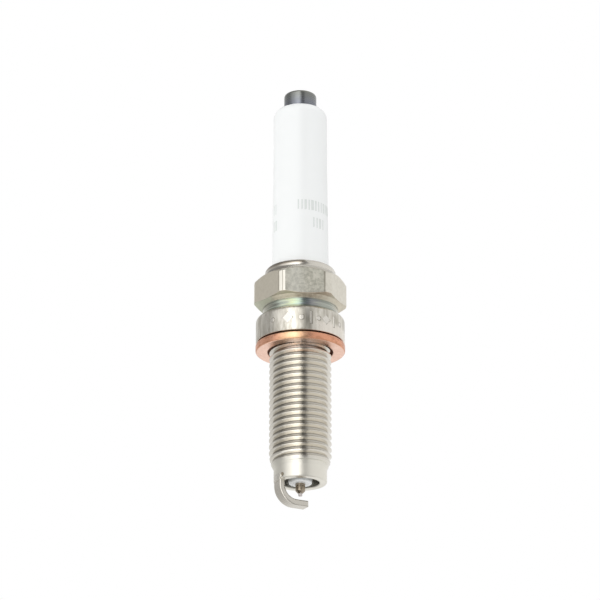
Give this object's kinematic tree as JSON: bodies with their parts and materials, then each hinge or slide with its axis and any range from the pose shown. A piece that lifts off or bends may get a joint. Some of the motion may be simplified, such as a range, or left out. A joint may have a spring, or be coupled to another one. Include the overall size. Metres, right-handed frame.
{
  "type": "spark plug",
  "caption": "Long-reach spark plug for a motorcycle engine: threaded steel shell with hexagon, white ceramic post, fine iridium electrode and a captive copper gasket.",
  "frame": {"origin": "centre of the gasket's lower face, which seals on the cylinder head", "axes": "+Z along the plug's axis towards the terminal; -Y faces the viewer of the reference view; X to its right"},
  "size_m": [0.0178, 0.0172, 0.0847],
  "materials": {
    "terminal": "dark gunmetal steel, smooth turned",
    "glass_seal": "fired copper-glass, matte",
    "resistor": "fired carbon-glass, matte",
    "electrode_nickel": "nickel alloy, satin",
    "copper": "plain copper, satin",
    "iridium": "iridium, satin",
    "insulator": "white alumina, clear gloss glaze",
    "shell": "nickel-plated steel, satin, heat-tinted in the groove",
    "packing_steel": "mild steel, dull",
    "talc": "pressed talc powder, matte",
    "gasket": "copper-coated steel, satin",
    "strap_nickel": "nickel alloy, drawn, satin",
    "platinum": "platinum alloy, satin"
  },
  "bodies": {
    "root": {"terminal_stud": "terminal", "upper_glass_seal": "glass_seal", "resistor": "resistor", "lower_glass_seal": "glass_seal", "center_electrode": "electrode_nickel", "center_electrode_core": "copper", "iridium_tip": "iridium", "insulator": "insulator", "metal_shell": "shell", "inner_packing_washer": "packing_steel", "lower_packing_ring": "packing_steel", "talc_fill": "talc", "upper_packing_ring": "packing_steel", "ground_electrode": "strap_nickel", "ground_electrode_core": "copper", "platinum_pad": "platinum"},
    "gasket": {"gasket": "gasket"}
  },
  "joints": [
    {"name": "gasket_slide", "type": "slide", "parent": "root", "child": "gasket", "axis": [0, 0, -1], "range_m": [-0.0002, 0.0006]}
  ]
}
